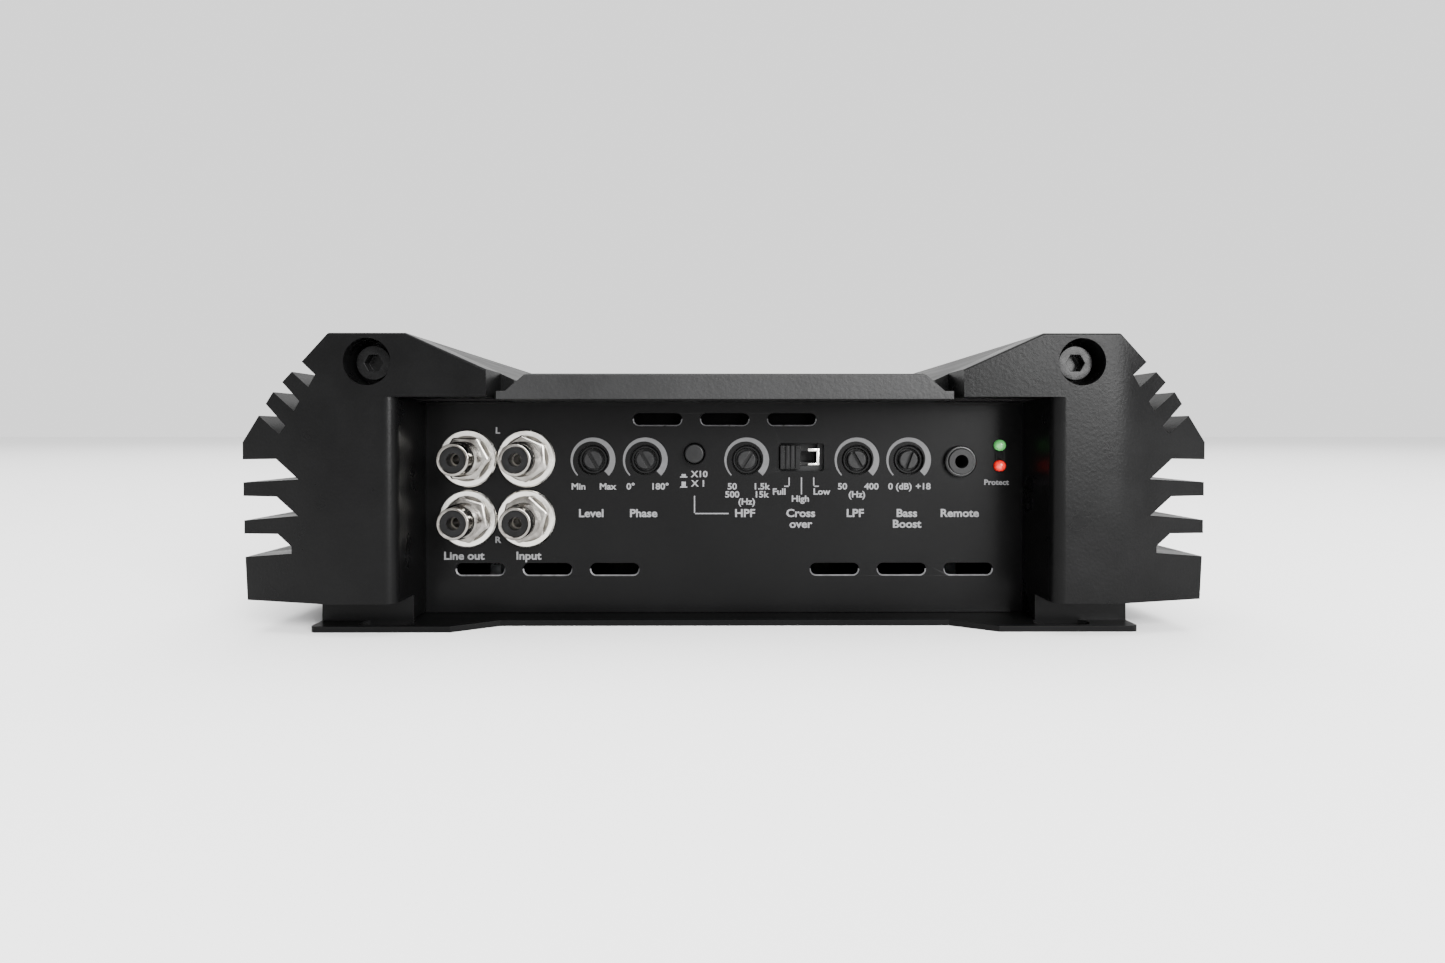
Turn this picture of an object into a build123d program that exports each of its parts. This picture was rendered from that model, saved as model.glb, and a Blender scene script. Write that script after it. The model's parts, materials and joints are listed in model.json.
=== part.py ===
"""Two-channel car amplifier with finned side heatsinks, in millimetres.

+X is to the right of the control end, +Y runs from the control end to the power end, +Z is up.
The origin is at the middle of the underside. The control end faces -Y.
"""
import os

from build123d import *

os.makedirs("parts", exist_ok=True)

# Overall size
LENGTH = 330.0
HEIGHT = 74.0
HALF_LENGTH = LENGTH / 2

# End caps and heatsinks
CAP_THICKNESS = 13.0
CAP_SHOULDER_X = 96.0
CAP_FACE_SETBACK = 6.0
LEG_INNER_X = 80.0
LEG_EDGE_RADIUS = 3.0
ARM_END_X = 58.0
ARM_UNDERSIDE_Z = 58.5
CAP_EDGE_RADIUS = 0.6
HEATSINK_HALF = HALF_LENGTH - CAP_THICKNESS
CAVITY_X = 90.0
CAVITY_TOP = 58.0
FIN_BOTTOM = 8.1
FOOT_X = 98.0
SHEET = 1.5

# Corner bolts, M5 socket head
BOLT_X = 86.8
BOLT_Z = 67.0
BOLT_HEAD_R = 4.25
BOLT_HEAD_H = 5.0
BOLT_SHANK_R = 2.45
BOLT_LENGTH = 18.0
BOLT_HEX = 4.0
BOLT_SINK = 3.8
BOLT_POCKET_R = 5.75
THREAD_R = 2.5

# Top cover
COVER_HALF_LENGTH = HALF_LENGTH - 2.0
COVER_TOP = 64.3
COVER_FLANGE_X = 56.2
COVER_SHOULDER_X = 54.0
COVER_FLAT_X = 49.0
COVER_FLANGE = 2.0
LIP_X = 54.6
GROOVE_X = 57.0

# Base plate, its mounting tabs and slots
BASE_X = 103.5
BASE_WALL_TOP = 8.0
BASE_HALF = HALF_LENGTH - 11.5
TAB_HALF = HALF_LENGTH - 5.0
TAB_INNER_X = 68.5
TAB_ROOT_X = 57.8
SLOT_X = 85.7
SLOT_Y = HALF_LENGTH - 9.0
SLOT_LENGTH = 14.0
SLOT_WIDTH = 5.5
BASE_SCREW_X = 94.0
BASE_SCREW_Y = (-135.0, -45.0, 45.0, 135.0)

# Control panel: everything along Y is given from its front face
PANEL_Y = 145.0
PANEL_FRONT = -PANEL_Y
PANEL_X = 85.5
PANEL_Z = (SHEET + 0.1, CAVITY_TOP)
VENT_LENGTH = 13.3
VENT_WIDTH = 3.5
VENT_PITCH = 18.0
TOP_VENT_Z = 53.3
LOW_VENT_Z = 13.1
LOW_VENT_X = (29.5, 47.5, 65.5)

# Control board, parallel to the panel
BOARD_FRONT = PANEL_FRONT + 11.0
BOARD = 1.6

# Phono sockets
RCA_X = {"left": -68.6, "right": -53.0}
RCA_Z = {"upper": 42.9, "lower": 26.8}
RCA_BARREL_R = 4.15
RCA_BARREL_CHAMFER = 0.3
RCA_THREAD_R = 4.6
RCA_ROOT_R = 4.35
RCA_THREAD_REACH = 8.6
RCA_THREAD_PITCH = 0.8
RCA_THREAD_TURNS = 6
RCA_FLANGE_R = 7.7
RCA_FLANGE = 1.2
RCA_NUT_WIDTH = 11.0
RCA_NUT_FACE = 3.6
RCA_BORE_R = 3.3
RCA_REACH = 13.0
RCA_PLUG_R = 1.7
RCA_CONTACT_R = 1.68
RCA_CONTACT_BORE_R = 1.3

# Rotary controls: name -> (x, slot angle anticlockwise from upright, seen from the control end)
POTS = {
    "level": (-35.3, 30.0),
    "phase": (-21.3, 30.0),
    "high_pass": (5.9, -31.0),
    "low_pass": (35.5, 30.0),
    "bass_boost": (49.4, -20.0),
}
POT_Z = 42.5
POT_HOLE_R = 4.1
POT_SHAFT_R = 2.5
POT_SLOT_WIDTH = 1.0
POT_SLOT_DEPTH = 1.2
POT_BODY_HALF = 4.9
RUNNING_GAP = 0.05

# Push button and slide switch
BUTTON_X = -8.1
BUTTON_Z = 44.2
BUTTON_R = 2.5
BUTTON_HOLE_R = 2.95
BUTTON_PROUD = 2.6
BUTTON_STEM_R = 1.5
BUTTON_BODY_HALF = 4.2
SWITCH_X = 20.6
SWITCH_Z = 43.2
SWITCH_WINDOW = (12.1, 7.5)
SWITCH_KNOB = (5.4, 6.3)
SWITCH_TRAVEL = 6.0
SWITCH_STEM = 1.2
SWITCH_HALF_WIDTH = 8.5
SWITCH_HALF_HEIGHT = 4.6
KNOB_GROOVES = 3

# Remote jack and lamps
JACK_X = 63.1
JACK_Z = 42.1
JACK_BARREL_R = 3.3
JACK_RING_R = 4.25
JACK_BORE_R = 1.8
JACK_BODY_HALF = 4.5
LED_X = 73.8
LED_Z = {"led_power": 46.4, "led_protect": 40.9}
LED_R = 1.5
LED_LEG = 0.5
LED_LEG_PITCH = 1.27

# Power end
STRIP_Z = (20.0, 40.0)
STRIP_FACE = PANEL_Y + 6.0
STRIP_TIP = PANEL_Y + 16.0
POWER_STRIP = (-72.0, -20.0, 3)
SPEAKER_STRIP = (20.0, 72.0, 4)
STRIP_RIM = 3.0
BARRIER = 2.0
PLATE = 1.0
POWER_SCREW = (13.6, 4.5, THREAD_R)
SPEAKER_SCREW = (9.6, 3.75, 2.0)
SCREW_HEAD = 2.6
FUSE_X = (-6.5, 6.5)
FUSE_HEIGHT = 18.0
FUSE_BLADE = 0.8
FUSE_BLADE_WIDTH = 5.0
FUSE_BLADE_PITCH = 10.0
FUSE_HOLDER_X = 15.0
FUSE_HOLDER_TAIL_X = 13.0

# Circuit board and what stands on it
PCB_X = 78.0
PCB_Y = (-122.0, 132.0)
PCB_Z = 12.0
STANDOFF_PLACES = [(x, y) for x in (-70.0, 70.0) for y in (-112.0, 5.0, 122.0)]
DEVICE_Y = (-96.0, -72.0, -48.0, 28.0, 52.0, 76.0)
DEVICE_Z = (22.0, 40.0)
DEVICE_WIDTH = 16.0
DEVICE_THICK = 4.8
DEVICE_RUN = (-108.0, 88.0)
LEAD_Y = (-5.4, 0.0, 5.4)
CAPACITOR_PLACES = [(20.0, -80.0), (40.0, -80.0), (-30.0, 40.0), (-30.0, 62.0), (-30.0, 84.0)]
CAPACITOR_R = 9.0
CAPACITOR_TOP = 50.0

# Heatsink outline from the crown down to the foot: three raked fins, then four level ones
FINS = [
    (103.4, 67.1), (99.7, 63.9), (101.6, 60.9),
    (106.2, 64.7), (108.9, 62.2), (104.1, 57.5), (105.6, 55.1),
    (111.5, 59.8), (113.6, 56.9), (108.1, 51.5), (109.9, 49.4),
    (115.6, 54.0), (120.3, 47.4), (120.3, 43.1), (110.7, 43.3), (104.4, 38.3),
    (120.1, 37.4), (120.1, 34.0), (110.6, 34.0), (104.6, 29.4),
    (119.9, 27.9), (119.9, 24.6), (110.3, 24.8), (106.4, 21.8), (106.4, 20.1),
    (119.6, 18.8), (119.0, FIN_BOTTOM),
]
CROWN_IN_X = 77.5


def rod(x, z, radius, y_front, y_back, mode=Mode.ADD):
    """A round bar or hole along Y."""
    with Locations((x, (y_front + y_back) / 2, z)):
        Cylinder(radius, y_back - y_front, rotation=(90, 0, 0), mode=mode)


def panel_hole(x, z, radius):
    """A round hole through the control panel."""
    rod(x, z, radius, PANEL_FRONT - 1, PANEL_FRONT + SHEET + 1, mode=Mode.SUBTRACT)


def post(x, y, radius, z_low, z_high, mode=Mode.ADD):
    """A round bar or hole along Z."""
    with Locations((x, y, (z_low + z_high) / 2)):
        Cylinder(radius, z_high - z_low, mode=mode)


def slab(x_span, y_span, z_span, mode=Mode.ADD):
    """A box between two limits on each axis."""
    spans = (x_span, y_span, z_span)
    with Locations(tuple((low + high) / 2 for low, high in spans)):
        Box(*(high - low for low, high in spans), mode=mode)


def write(builder, label):
    """Label a finished piece and write its STEP file."""
    builder.part.label = label
    export_step(builder.part, f"parts/{label}.step")


def scaled(points, side):
    """Turn (x, z) points over to the named side of the centre line."""
    return [(side * x, z) for x, z in points]


def ordered(a, b):
    """Two limits, lower first."""
    return (min(a, b), max(a, b))


# Side heatsinks: extruded aluminium, each with a spine, raked and level fins and a foot
def make_heatsink(side, label):
    inner = [
        (FOOT_X, FIN_BOTTOM), (FOOT_X, SHEET + 0.1), (CAVITY_X, SHEET + 0.1),
        (CAVITY_X, CAVITY_TOP - 4.0), (CAVITY_X - 4.0, CAVITY_TOP), (GROOVE_X, CAVITY_TOP),
        (GROOVE_X, CAVITY_TOP + COVER_FLANGE + 0.1), (LIP_X, CAVITY_TOP + COVER_FLANGE + 0.1),
        (LIP_X, 63.5), (CROWN_IN_X, HEIGHT), (CAP_SHOULDER_X, HEIGHT),
    ]
    with BuildPart() as heatsink:
        with BuildSketch(Plane.XZ.offset(HEATSINK_HALF)):
            with BuildLine():
                Polyline(*scaled(FINS + inner, side), close=True)
            make_face()
        extrude(amount=-2 * HEATSINK_HALF)
        for end in (-1, 1):
            depth = BOLT_LENGTH - CAP_THICKNESS + BOLT_SINK + BOLT_HEAD_H + 1.0
            rod(side * BOLT_X, BOLT_Z, THREAD_R,
                *ordered(end * HEATSINK_HALF, end * (HEATSINK_HALF - depth)), mode=Mode.SUBTRACT)
        for y in BASE_SCREW_Y:
            post(side * BASE_SCREW_X, y, 1.5, 0, 7.5, mode=Mode.SUBTRACT)
    write(heatsink, label)


# Corner caps: black castings that close each heatsink end and frame the recessed panels
def make_corner_cap(side, end, label):
    arm_and_leg = [
        (LEG_INNER_X, FIN_BOTTOM), (LEG_INNER_X, ARM_UNDERSIDE_Z), (ARM_END_X, ARM_UNDERSIDE_Z),
        (ARM_END_X, 65.2), (CROWN_IN_X, HEIGHT), (CAP_SHOULDER_X, HEIGHT),
    ]
    face_y = end * HALF_LENGTH
    with BuildPart() as cap:
        with BuildSketch(Plane.XZ.offset(-face_y)):
            with BuildLine():
                Polyline(*scaled(FINS + arm_and_leg, side), close=True)
            make_face()
        extrude(amount=end * CAP_THICKNESS)
        # The outer part of the face leans back towards the fin tips
        with BuildSketch(Plane.XY):
            with BuildLine():
                Polyline(
                    (side * CAP_SHOULDER_X, face_y),
                    (side * 121.0, face_y),
                    (side * 121.0, face_y - end * CAP_FACE_SETBACK),
                    close=True,
                )
            make_face()
        extrude(amount=HEIGHT, mode=Mode.SUBTRACT)
        # Return wall that carries on back to the panel
        wall_y = ordered(end * HEATSINK_HALF, end * PANEL_Y)
        slab(ordered(side * LEG_INNER_X, side * (LEG_INNER_X + 4.0)), wall_y,
             (SHEET + 0.5, CAVITY_TOP))
        leg_edge = (
            cap.edges().filter_by(Axis.Z)
            .filter_by_position(Axis.X, *ordered(side * LEG_INNER_X - 0.1, side * LEG_INNER_X + 0.1))
            .filter_by_position(Axis.Y, face_y - 0.1, face_y + 0.1)
        )
        fillet(leg_edge, LEG_EDGE_RADIUS)
        arm_edge = (
            cap.edges().filter_by_position(Axis.Y, face_y - 0.1, face_y + 0.1)
            .filter_by_position(Axis.Z, 65.0, HEIGHT + 0.1)
        )
        fillet(arm_edge, CAP_EDGE_RADIUS)
        # Counterbore for the bolt head, then the clearance hole
        seat = HALF_LENGTH - BOLT_SINK - BOLT_HEAD_H
        rod(side * BOLT_X, BOLT_Z, BOLT_POCKET_R, *ordered(face_y, end * seat), mode=Mode.SUBTRACT)
        rod(side * BOLT_X, BOLT_Z, THREAD_R + 0.2, *ordered(face_y, end * HEATSINK_HALF),
            mode=Mode.SUBTRACT)
    write(cap, label)


for side, side_name in ((-1, "left"), (1, "right")):
    make_heatsink(side, f"heatsink_{side_name}")
    for end, end_name in ((-1, "front"), (1, "rear")):
        make_corner_cap(side, end, f"corner_cap_{end_name}_{side_name}")

# Corner bolts: four socket-head cap screws
with BuildPart() as corner_bolts:
    for side in (-1, 1):
        for end in (-1, 1):
            head_y = HALF_LENGTH - BOLT_SINK
            seat = head_y - BOLT_HEAD_H
            rod(side * BOLT_X, BOLT_Z, BOLT_HEAD_R, *ordered(end * head_y, end * seat))
            rod(side * BOLT_X, BOLT_Z, BOLT_SHANK_R, *ordered(end * seat, end * (seat - BOLT_LENGTH)))
            with BuildSketch(Plane.XZ.offset(-end * head_y)):
                with Locations((side * BOLT_X, BOLT_Z)):
                    RegularPolygon(BOLT_HEX / 2, 6, major_radius=False)
            extrude(amount=end * 2.8, mode=Mode.SUBTRACT)
write(corner_bolts, "corner_bolts")

# Top cover: a shallow lid whose flanges slide under the heatsink lips
with BuildPart() as top_cover:
    with BuildSketch(Plane.XZ.offset(COVER_HALF_LENGTH)):
        with BuildLine():
            Polyline(
                (0, CAVITY_TOP), (COVER_FLANGE_X, CAVITY_TOP),
                (COVER_FLANGE_X, CAVITY_TOP + COVER_FLANGE),
                (COVER_SHOULDER_X, CAVITY_TOP + COVER_FLANGE),
                (COVER_FLAT_X, COVER_TOP), (0, COVER_TOP), close=True,
            )
        make_face()
        mirror(about=Plane.YZ)
    extrude(amount=-2 * COVER_HALF_LENGTH)
    slab((-47.0, 47.0), (-PANEL_Y + 3, PANEL_Y - 3), (CAVITY_TOP, COVER_TOP - 2.2),
         mode=Mode.SUBTRACT)
    chamfer(top_cover.edges().group_by(Axis.Z)[-1], 0.4)
write(top_cover, "top_cover")

# Base plate: a folded pan with four slotted mounting tabs
with BuildPart() as base_plate:
    with BuildSketch(Plane.XY):
        with BuildLine():
            quarter = [
                (0, BASE_HALF), (TAB_ROOT_X, BASE_HALF), (TAB_INNER_X, TAB_HALF),
                (BASE_X, TAB_HALF), (BASE_X, 0), (0, 0),
            ]
            Polyline(*quarter, close=True)
        make_face()
        mirror(about=Plane.YZ)
        mirror(about=Plane.XZ)
        fillet(
            [v for v in vertices() if abs(v.X) > BASE_X - 0.1 and abs(v.Y) > TAB_HALF - 0.1],
            radius=1.5,
        )
        with GridLocations(2 * SLOT_X, 2 * SLOT_Y, 2, 2):
            SlotOverall(SLOT_LENGTH, SLOT_WIDTH, mode=Mode.SUBTRACT)
    extrude(amount=SHEET)
    for side in (-1, 1):
        slab(ordered(side * (BASE_X - SHEET), side * BASE_X), (-BASE_HALF, BASE_HALF),
             (0, BASE_WALL_TOP))
        for end in (-1, 1):
            slab(ordered(side * LEG_INNER_X, side * BASE_X),
                 ordered(end * HEATSINK_HALF, end * BASE_HALF), (0, BASE_WALL_TOP))
    for end in (-1, 1):
        upstand = ordered(end * (PANEL_Y - SHEET), end * (PANEL_Y - 2 * SHEET))
        slab((-85.0, 85.0), upstand, (0, BASE_WALL_TOP))
    with BuildSketch(Plane.XY):
        with Locations(*[(s * BASE_SCREW_X, y) for s in (-1, 1) for y in BASE_SCREW_Y]):
            Circle(3.05)
    extrude(amount=SHEET, taper=45, mode=Mode.SUBTRACT)
    for side in (-1, 1):
        for y in BASE_SCREW_Y:
            post(side * BASE_SCREW_X, y, 1.6, 0, SHEET, mode=Mode.SUBTRACT)
write(base_plate, "base_plate")

# Base screws: countersunk, up through the pan into the heatsink feet
with BuildPart() as base_screws:
    for side in (-1, 1):
        for y in BASE_SCREW_Y:
            with Locations((side * BASE_SCREW_X, y, 0.75)):
                Cone(2.95, 1.45, 1.5)
            post(side * BASE_SCREW_X, y, 1.45, 1.4, 7.0)
            slab((side * BASE_SCREW_X - 1.8, side * BASE_SCREW_X + 1.8), (y - 0.35, y + 0.35),
                 (0, 0.7), mode=Mode.SUBTRACT)
            slab((side * BASE_SCREW_X - 0.35, side * BASE_SCREW_X + 0.35), (y - 1.8, y + 1.8),
                 (0, 0.7), mode=Mode.SUBTRACT)
write(base_screws, "base_screws")


# Panels
def cut_vents(rows):
    """Round-ended vent slots through an end panel, centred at each (x, z) place."""
    for x, z in rows:
        rod(x - (VENT_LENGTH - VENT_WIDTH) / 2, z, VENT_WIDTH / 2, -PANEL_Y - 1, PANEL_Y + 1,
            mode=Mode.SUBTRACT)
        rod(x + (VENT_LENGTH - VENT_WIDTH) / 2, z, VENT_WIDTH / 2, -PANEL_Y - 1, PANEL_Y + 1,
            mode=Mode.SUBTRACT)
        slab((x - (VENT_LENGTH - VENT_WIDTH) / 2, x + (VENT_LENGTH - VENT_WIDTH) / 2),
             (-PANEL_Y - 1, PANEL_Y + 1), (z - VENT_WIDTH / 2, z + VENT_WIDTH / 2),
             mode=Mode.SUBTRACT)


TOP_VENTS = [(x, TOP_VENT_Z) for x in (-VENT_PITCH, 0.0, VENT_PITCH)]
LOW_VENTS = [(s * x, LOW_VENT_Z) for s in (-1, 1) for x in LOW_VENT_X]

with BuildPart() as control_panel:
    slab((-PANEL_X, PANEL_X), (PANEL_FRONT, PANEL_FRONT + SHEET), PANEL_Z)
    cut_vents(TOP_VENTS + LOW_VENTS)
    for x in RCA_X.values():
        for z in RCA_Z.values():
            panel_hole(x, z, RCA_THREAD_R + 0.1)
    for x, _ in POTS.values():
        panel_hole(x, POT_Z, POT_HOLE_R)
    panel_hole(BUTTON_X, BUTTON_Z, BUTTON_HOLE_R)
    with BuildSketch(Plane.XZ.offset(-PANEL_FRONT)):
        with Locations((SWITCH_X, SWITCH_Z)):
            RectangleRounded(*SWITCH_WINDOW, 0.8)
    extrude(amount=-SHEET, mode=Mode.SUBTRACT)
    panel_hole(JACK_X, JACK_Z, JACK_BARREL_R + 0.1)
    for z in LED_Z.values():
        panel_hole(LED_X, z, LED_R + RUNNING_GAP)
write(control_panel, "control_panel")

with BuildPart() as rear_panel:
    slab((-PANEL_X, PANEL_X), (PANEL_Y - SHEET, PANEL_Y), PANEL_Z)
    cut_vents(TOP_VENTS + LOW_VENTS)
    for low, high, _ in (POWER_STRIP, SPEAKER_STRIP):
        rim = STRIP_RIM - 0.1
        slab((low + rim, high - rim), (PANEL_Y - 4, PANEL_Y + 1),
             (STRIP_Z[0] + rim, STRIP_Z[1] - rim), mode=Mode.SUBTRACT)
    slab((-FUSE_HOLDER_TAIL_X - 0.1, FUSE_HOLDER_TAIL_X + 0.1), (PANEL_Y - 4, PANEL_Y + 1),
         (STRIP_Z[0] + 1.9, STRIP_Z[1] - 1.9), mode=Mode.SUBTRACT)
write(rear_panel, "rear_panel")


# Phono sockets: one turned shell each, with a shared set of nuts, insulators and contacts
def make_rca_shell(x, z, label):
    tip = PANEL_FRONT - RCA_REACH
    with BuildPart() as shell:
        rod(x, z, RCA_BARREL_R, tip, PANEL_FRONT)
        rod(x, z, RCA_THREAD_R, PANEL_FRONT - RCA_THREAD_REACH, PANEL_FRONT + SHEET)
        for turn in range(RCA_THREAD_TURNS):
            root = PANEL_FRONT - RCA_THREAD_REACH + (turn + 0.5) * RCA_THREAD_PITCH
            rod(x, z, RCA_THREAD_R + 0.1, root, root + 0.3, mode=Mode.SUBTRACT)
            rod(x, z, RCA_ROOT_R, root - 0.1, root + 0.4)
        rod(x, z, RCA_FLANGE_R, PANEL_FRONT - RCA_FLANGE, PANEL_FRONT)
        chamfer(shell.edges().group_by(Axis.Y)[0], RCA_BARREL_CHAMFER)
        rod(x, z, RCA_BORE_R, tip - 1, PANEL_FRONT + 3, mode=Mode.SUBTRACT)
    write(shell, label)


RCA_PLACES = [(x, z) for x in RCA_X.values() for z in RCA_Z.values()]
for column, x in RCA_X.items():
    for row, z in RCA_Z.items():
        make_rca_shell(x, z, f"rca_shell_{row}_{column}")

with BuildPart() as rca_nuts:
    for x, z in RCA_PLACES:
        with BuildSketch(Plane.XZ.offset(-PANEL_FRONT + RCA_NUT_FACE)):
            with Locations((x, z)):
                RegularPolygon(RCA_NUT_WIDTH / 2, 6, major_radius=False)
                Circle(RCA_THREAD_R + 0.02, mode=Mode.SUBTRACT)
        extrude(amount=RCA_FLANGE - RCA_NUT_FACE)
write(rca_nuts, "rca_nuts")

with BuildPart() as rca_insulators:
    for x, z in RCA_PLACES:
        rod(x, z, RCA_BORE_R, PANEL_FRONT - RCA_REACH + 0.6, PANEL_FRONT + 4.0)
        rod(x, z, RCA_PLUG_R, PANEL_FRONT - RCA_REACH, PANEL_FRONT + 5.0, mode=Mode.SUBTRACT)
write(rca_insulators, "rca_insulators")

with BuildPart() as rca_contacts:
    for x, z in RCA_PLACES:
        rod(x, z, RCA_CONTACT_R, PANEL_FRONT - RCA_REACH + 4.0, BOARD_FRONT)
        rod(x, z, RCA_CONTACT_BORE_R, PANEL_FRONT - RCA_REACH, PANEL_FRONT + 2.0,
            mode=Mode.SUBTRACT)
write(rca_contacts, "rca_contacts")


# Rotary controls: a slotted shaft in a square body
def make_pot(name, x, tilt):
    body_front = PANEL_FRONT + SHEET + 0.2
    shaft_tip = PANEL_FRONT - 0.3
    with BuildPart() as pot_shaft:
        rod(x, POT_Z, POT_SHAFT_R, shaft_tip, BOARD_FRONT - 2.0)
        chamfer(pot_shaft.edges().sort_by(Axis.Y)[:1], 0.25)
        with Locations(Location((x, shaft_tip, POT_Z), (0, -tilt, 0))):
            Box(POT_SLOT_WIDTH, 2 * POT_SLOT_DEPTH, 3 * POT_SHAFT_R, mode=Mode.SUBTRACT)
    write(pot_shaft, f"pot_shaft_{name}")
    with BuildPart() as pot_body:
        slab((x - POT_BODY_HALF, x + POT_BODY_HALF), (body_front, BOARD_FRONT),
             (POT_Z - 6.0, POT_Z + 5.0))
        rod(x, POT_Z, POT_SHAFT_R + RUNNING_GAP, body_front - 1, BOARD_FRONT - 1.5,
            mode=Mode.SUBTRACT)
    write(pot_body, f"pot_body_{name}")


for name, (x, tilt) in POTS.items():
    make_pot(name, x, tilt)

# Push button and the switch behind it
with BuildPart() as push_button:
    rod(BUTTON_X, BUTTON_Z, BUTTON_R, PANEL_FRONT - BUTTON_PROUD, PANEL_FRONT + 1.7)
    fillet(push_button.edges().sort_by(Axis.Y)[:1], 0.4)
    rod(BUTTON_X, BUTTON_Z, BUTTON_STEM_R, PANEL_FRONT + 1.7, PANEL_FRONT + 7.0)
write(push_button, "push_button")

with BuildPart() as push_switch_body:
    slab((BUTTON_X - BUTTON_BODY_HALF, BUTTON_X + BUTTON_BODY_HALF),
         (PANEL_FRONT + 4.6, BOARD_FRONT),
         (BUTTON_Z - BUTTON_BODY_HALF, BUTTON_Z + BUTTON_BODY_HALF))
    rod(BUTTON_X, BUTTON_Z, BUTTON_STEM_R + RUNNING_GAP, PANEL_FRONT, BOARD_FRONT - 0.8,
        mode=Mode.SUBTRACT)
write(push_switch_body, "push_switch_body")

# Slide switch: ribbed knob, and the metal frame whose face shows in the window
KNOB_LEFT = SWITCH_X - SWITCH_WINDOW[0] / 2 + 0.3
with BuildPart() as slide_knob:
    slab((KNOB_LEFT, KNOB_LEFT + SWITCH_KNOB[0]), (PANEL_FRONT - 1.0, PANEL_FRONT + 1.8),
         (SWITCH_Z - SWITCH_KNOB[1] / 2, SWITCH_Z + SWITCH_KNOB[1] / 2))
    for groove in range(KNOB_GROOVES):
        groove_x = KNOB_LEFT + 0.9 + groove * 1.3
        slab((groove_x, groove_x + 0.6), (PANEL_FRONT - 2.0, PANEL_FRONT - 0.4),
             (SWITCH_Z - SWITCH_KNOB[1], SWITCH_Z + SWITCH_KNOB[1]), mode=Mode.SUBTRACT)
    knob_middle = KNOB_LEFT + SWITCH_KNOB[0] / 2
    slab((knob_middle - SWITCH_STEM, knob_middle + SWITCH_STEM),
         (PANEL_FRONT + 1.7, PANEL_FRONT + 6.0), (SWITCH_Z - SWITCH_STEM, SWITCH_Z + SWITCH_STEM))
write(slide_knob, "slide_knob")

with BuildPart() as slide_switch_body:
    slab((SWITCH_X - SWITCH_HALF_WIDTH, SWITCH_X + SWITCH_HALF_WIDTH),
         (PANEL_FRONT + 2.2, BOARD_FRONT),
         (SWITCH_Z - SWITCH_HALF_HEIGHT, SWITCH_Z + SWITCH_HALF_HEIGHT))
    stem_slot = SWITCH_STEM + 0.3
    slab((knob_middle - stem_slot, knob_middle + SWITCH_TRAVEL + stem_slot),
         (PANEL_FRONT, BOARD_FRONT - 3.0), (SWITCH_Z - stem_slot, SWITCH_Z + stem_slot),
         mode=Mode.SUBTRACT)
    # Open face of the folded frame, with a lip left along the bottom and the far end
    slab((KNOB_LEFT - 0.1, SWITCH_X + 4.6), (PANEL_FRONT + 2.0, PANEL_FRONT + 4.5),
         (SWITCH_Z - 2.4, SWITCH_Z + 3.7), mode=Mode.SUBTRACT)
write(slide_switch_body, "slide_switch_body")

# Remote jack: threaded barrel and body, with a ring nut outside the panel
with BuildPart() as remote_jack_body:
    rod(JACK_X, JACK_Z, JACK_BARREL_R, PANEL_FRONT - 2.0, PANEL_FRONT + 3.0)
    slab((JACK_X - JACK_BODY_HALF, JACK_X + JACK_BODY_HALF), (PANEL_FRONT + SHEET, BOARD_FRONT),
         (JACK_Z - JACK_BODY_HALF, JACK_Z + JACK_BODY_HALF))
    rod(JACK_X, JACK_Z, JACK_BORE_R, PANEL_FRONT - 3.0, PANEL_FRONT + 10.0, mode=Mode.SUBTRACT)
write(remote_jack_body, "remote_jack_body")

with BuildPart() as remote_jack_ring:
    rod(JACK_X, JACK_Z, JACK_RING_R, PANEL_FRONT - 1.5, PANEL_FRONT)
    rod(JACK_X, JACK_Z, JACK_BARREL_R + 0.02, PANEL_FRONT - 2.0, PANEL_FRONT + 1.0,
        mode=Mode.SUBTRACT)
    chamfer(remote_jack_ring.edges().sort_by(Axis.Y).filter_by(GeomType.CIRCLE)[:1], 0.3)
write(remote_jack_ring, "remote_jack_ring")

# Lamps: domed 3 mm light-emitting diodes
for label, z in LED_Z.items():
    with BuildPart() as led:
        rod(LED_X, z, LED_R, PANEL_FRONT - 0.6, PANEL_FRONT + 4.0)
        with Locations((LED_X, PANEL_FRONT - 0.6, z)):
            Sphere(LED_R)
        rod(LED_X, z, LED_R + 0.4, PANEL_FRONT + 2.5, PANEL_FRONT + 4.0)
        for leg_z in (z - LED_LEG_PITCH / 2, z + LED_LEG_PITCH / 2):
            slab((LED_X - LED_LEG / 2, LED_X + LED_LEG / 2), (PANEL_FRONT + 3.9, BOARD_FRONT),
                 (leg_z - LED_LEG / 2, leg_z + LED_LEG / 2))
    write(led, label)

# Control board, and the header that links it to the main board
with BuildPart() as control_board:
    slab((-PCB_X, PCB_X), (BOARD_FRONT, BOARD_FRONT + BOARD), (17.0, 49.5))
write(control_board, "control_board")

with BuildPart() as board_link:
    slab((-15.0, 15.0), (BOARD_FRONT + BOARD, BOARD_FRONT + BOARD + 8.0), (19.0, 25.0))
    slab((-14.0, 14.0), (BOARD_FRONT + BOARD + 8.0, PCB_Y[0] + 6.0), (21.4, 22.2))
    slab((-15.0, 15.0), (PCB_Y[0] + 2.0, PCB_Y[0] + 8.0), (PCB_Z + BOARD, 22.2))
write(board_link, "board_link")

# Main board on standoffs, with its screws
with BuildPart() as main_board:
    slab((-PCB_X, PCB_X), PCB_Y, (PCB_Z, PCB_Z + BOARD))
    for x, y in STANDOFF_PLACES:
        post(x, y, 1.6, PCB_Z - 1, PCB_Z + 3, mode=Mode.SUBTRACT)
write(main_board, "main_board")

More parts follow.
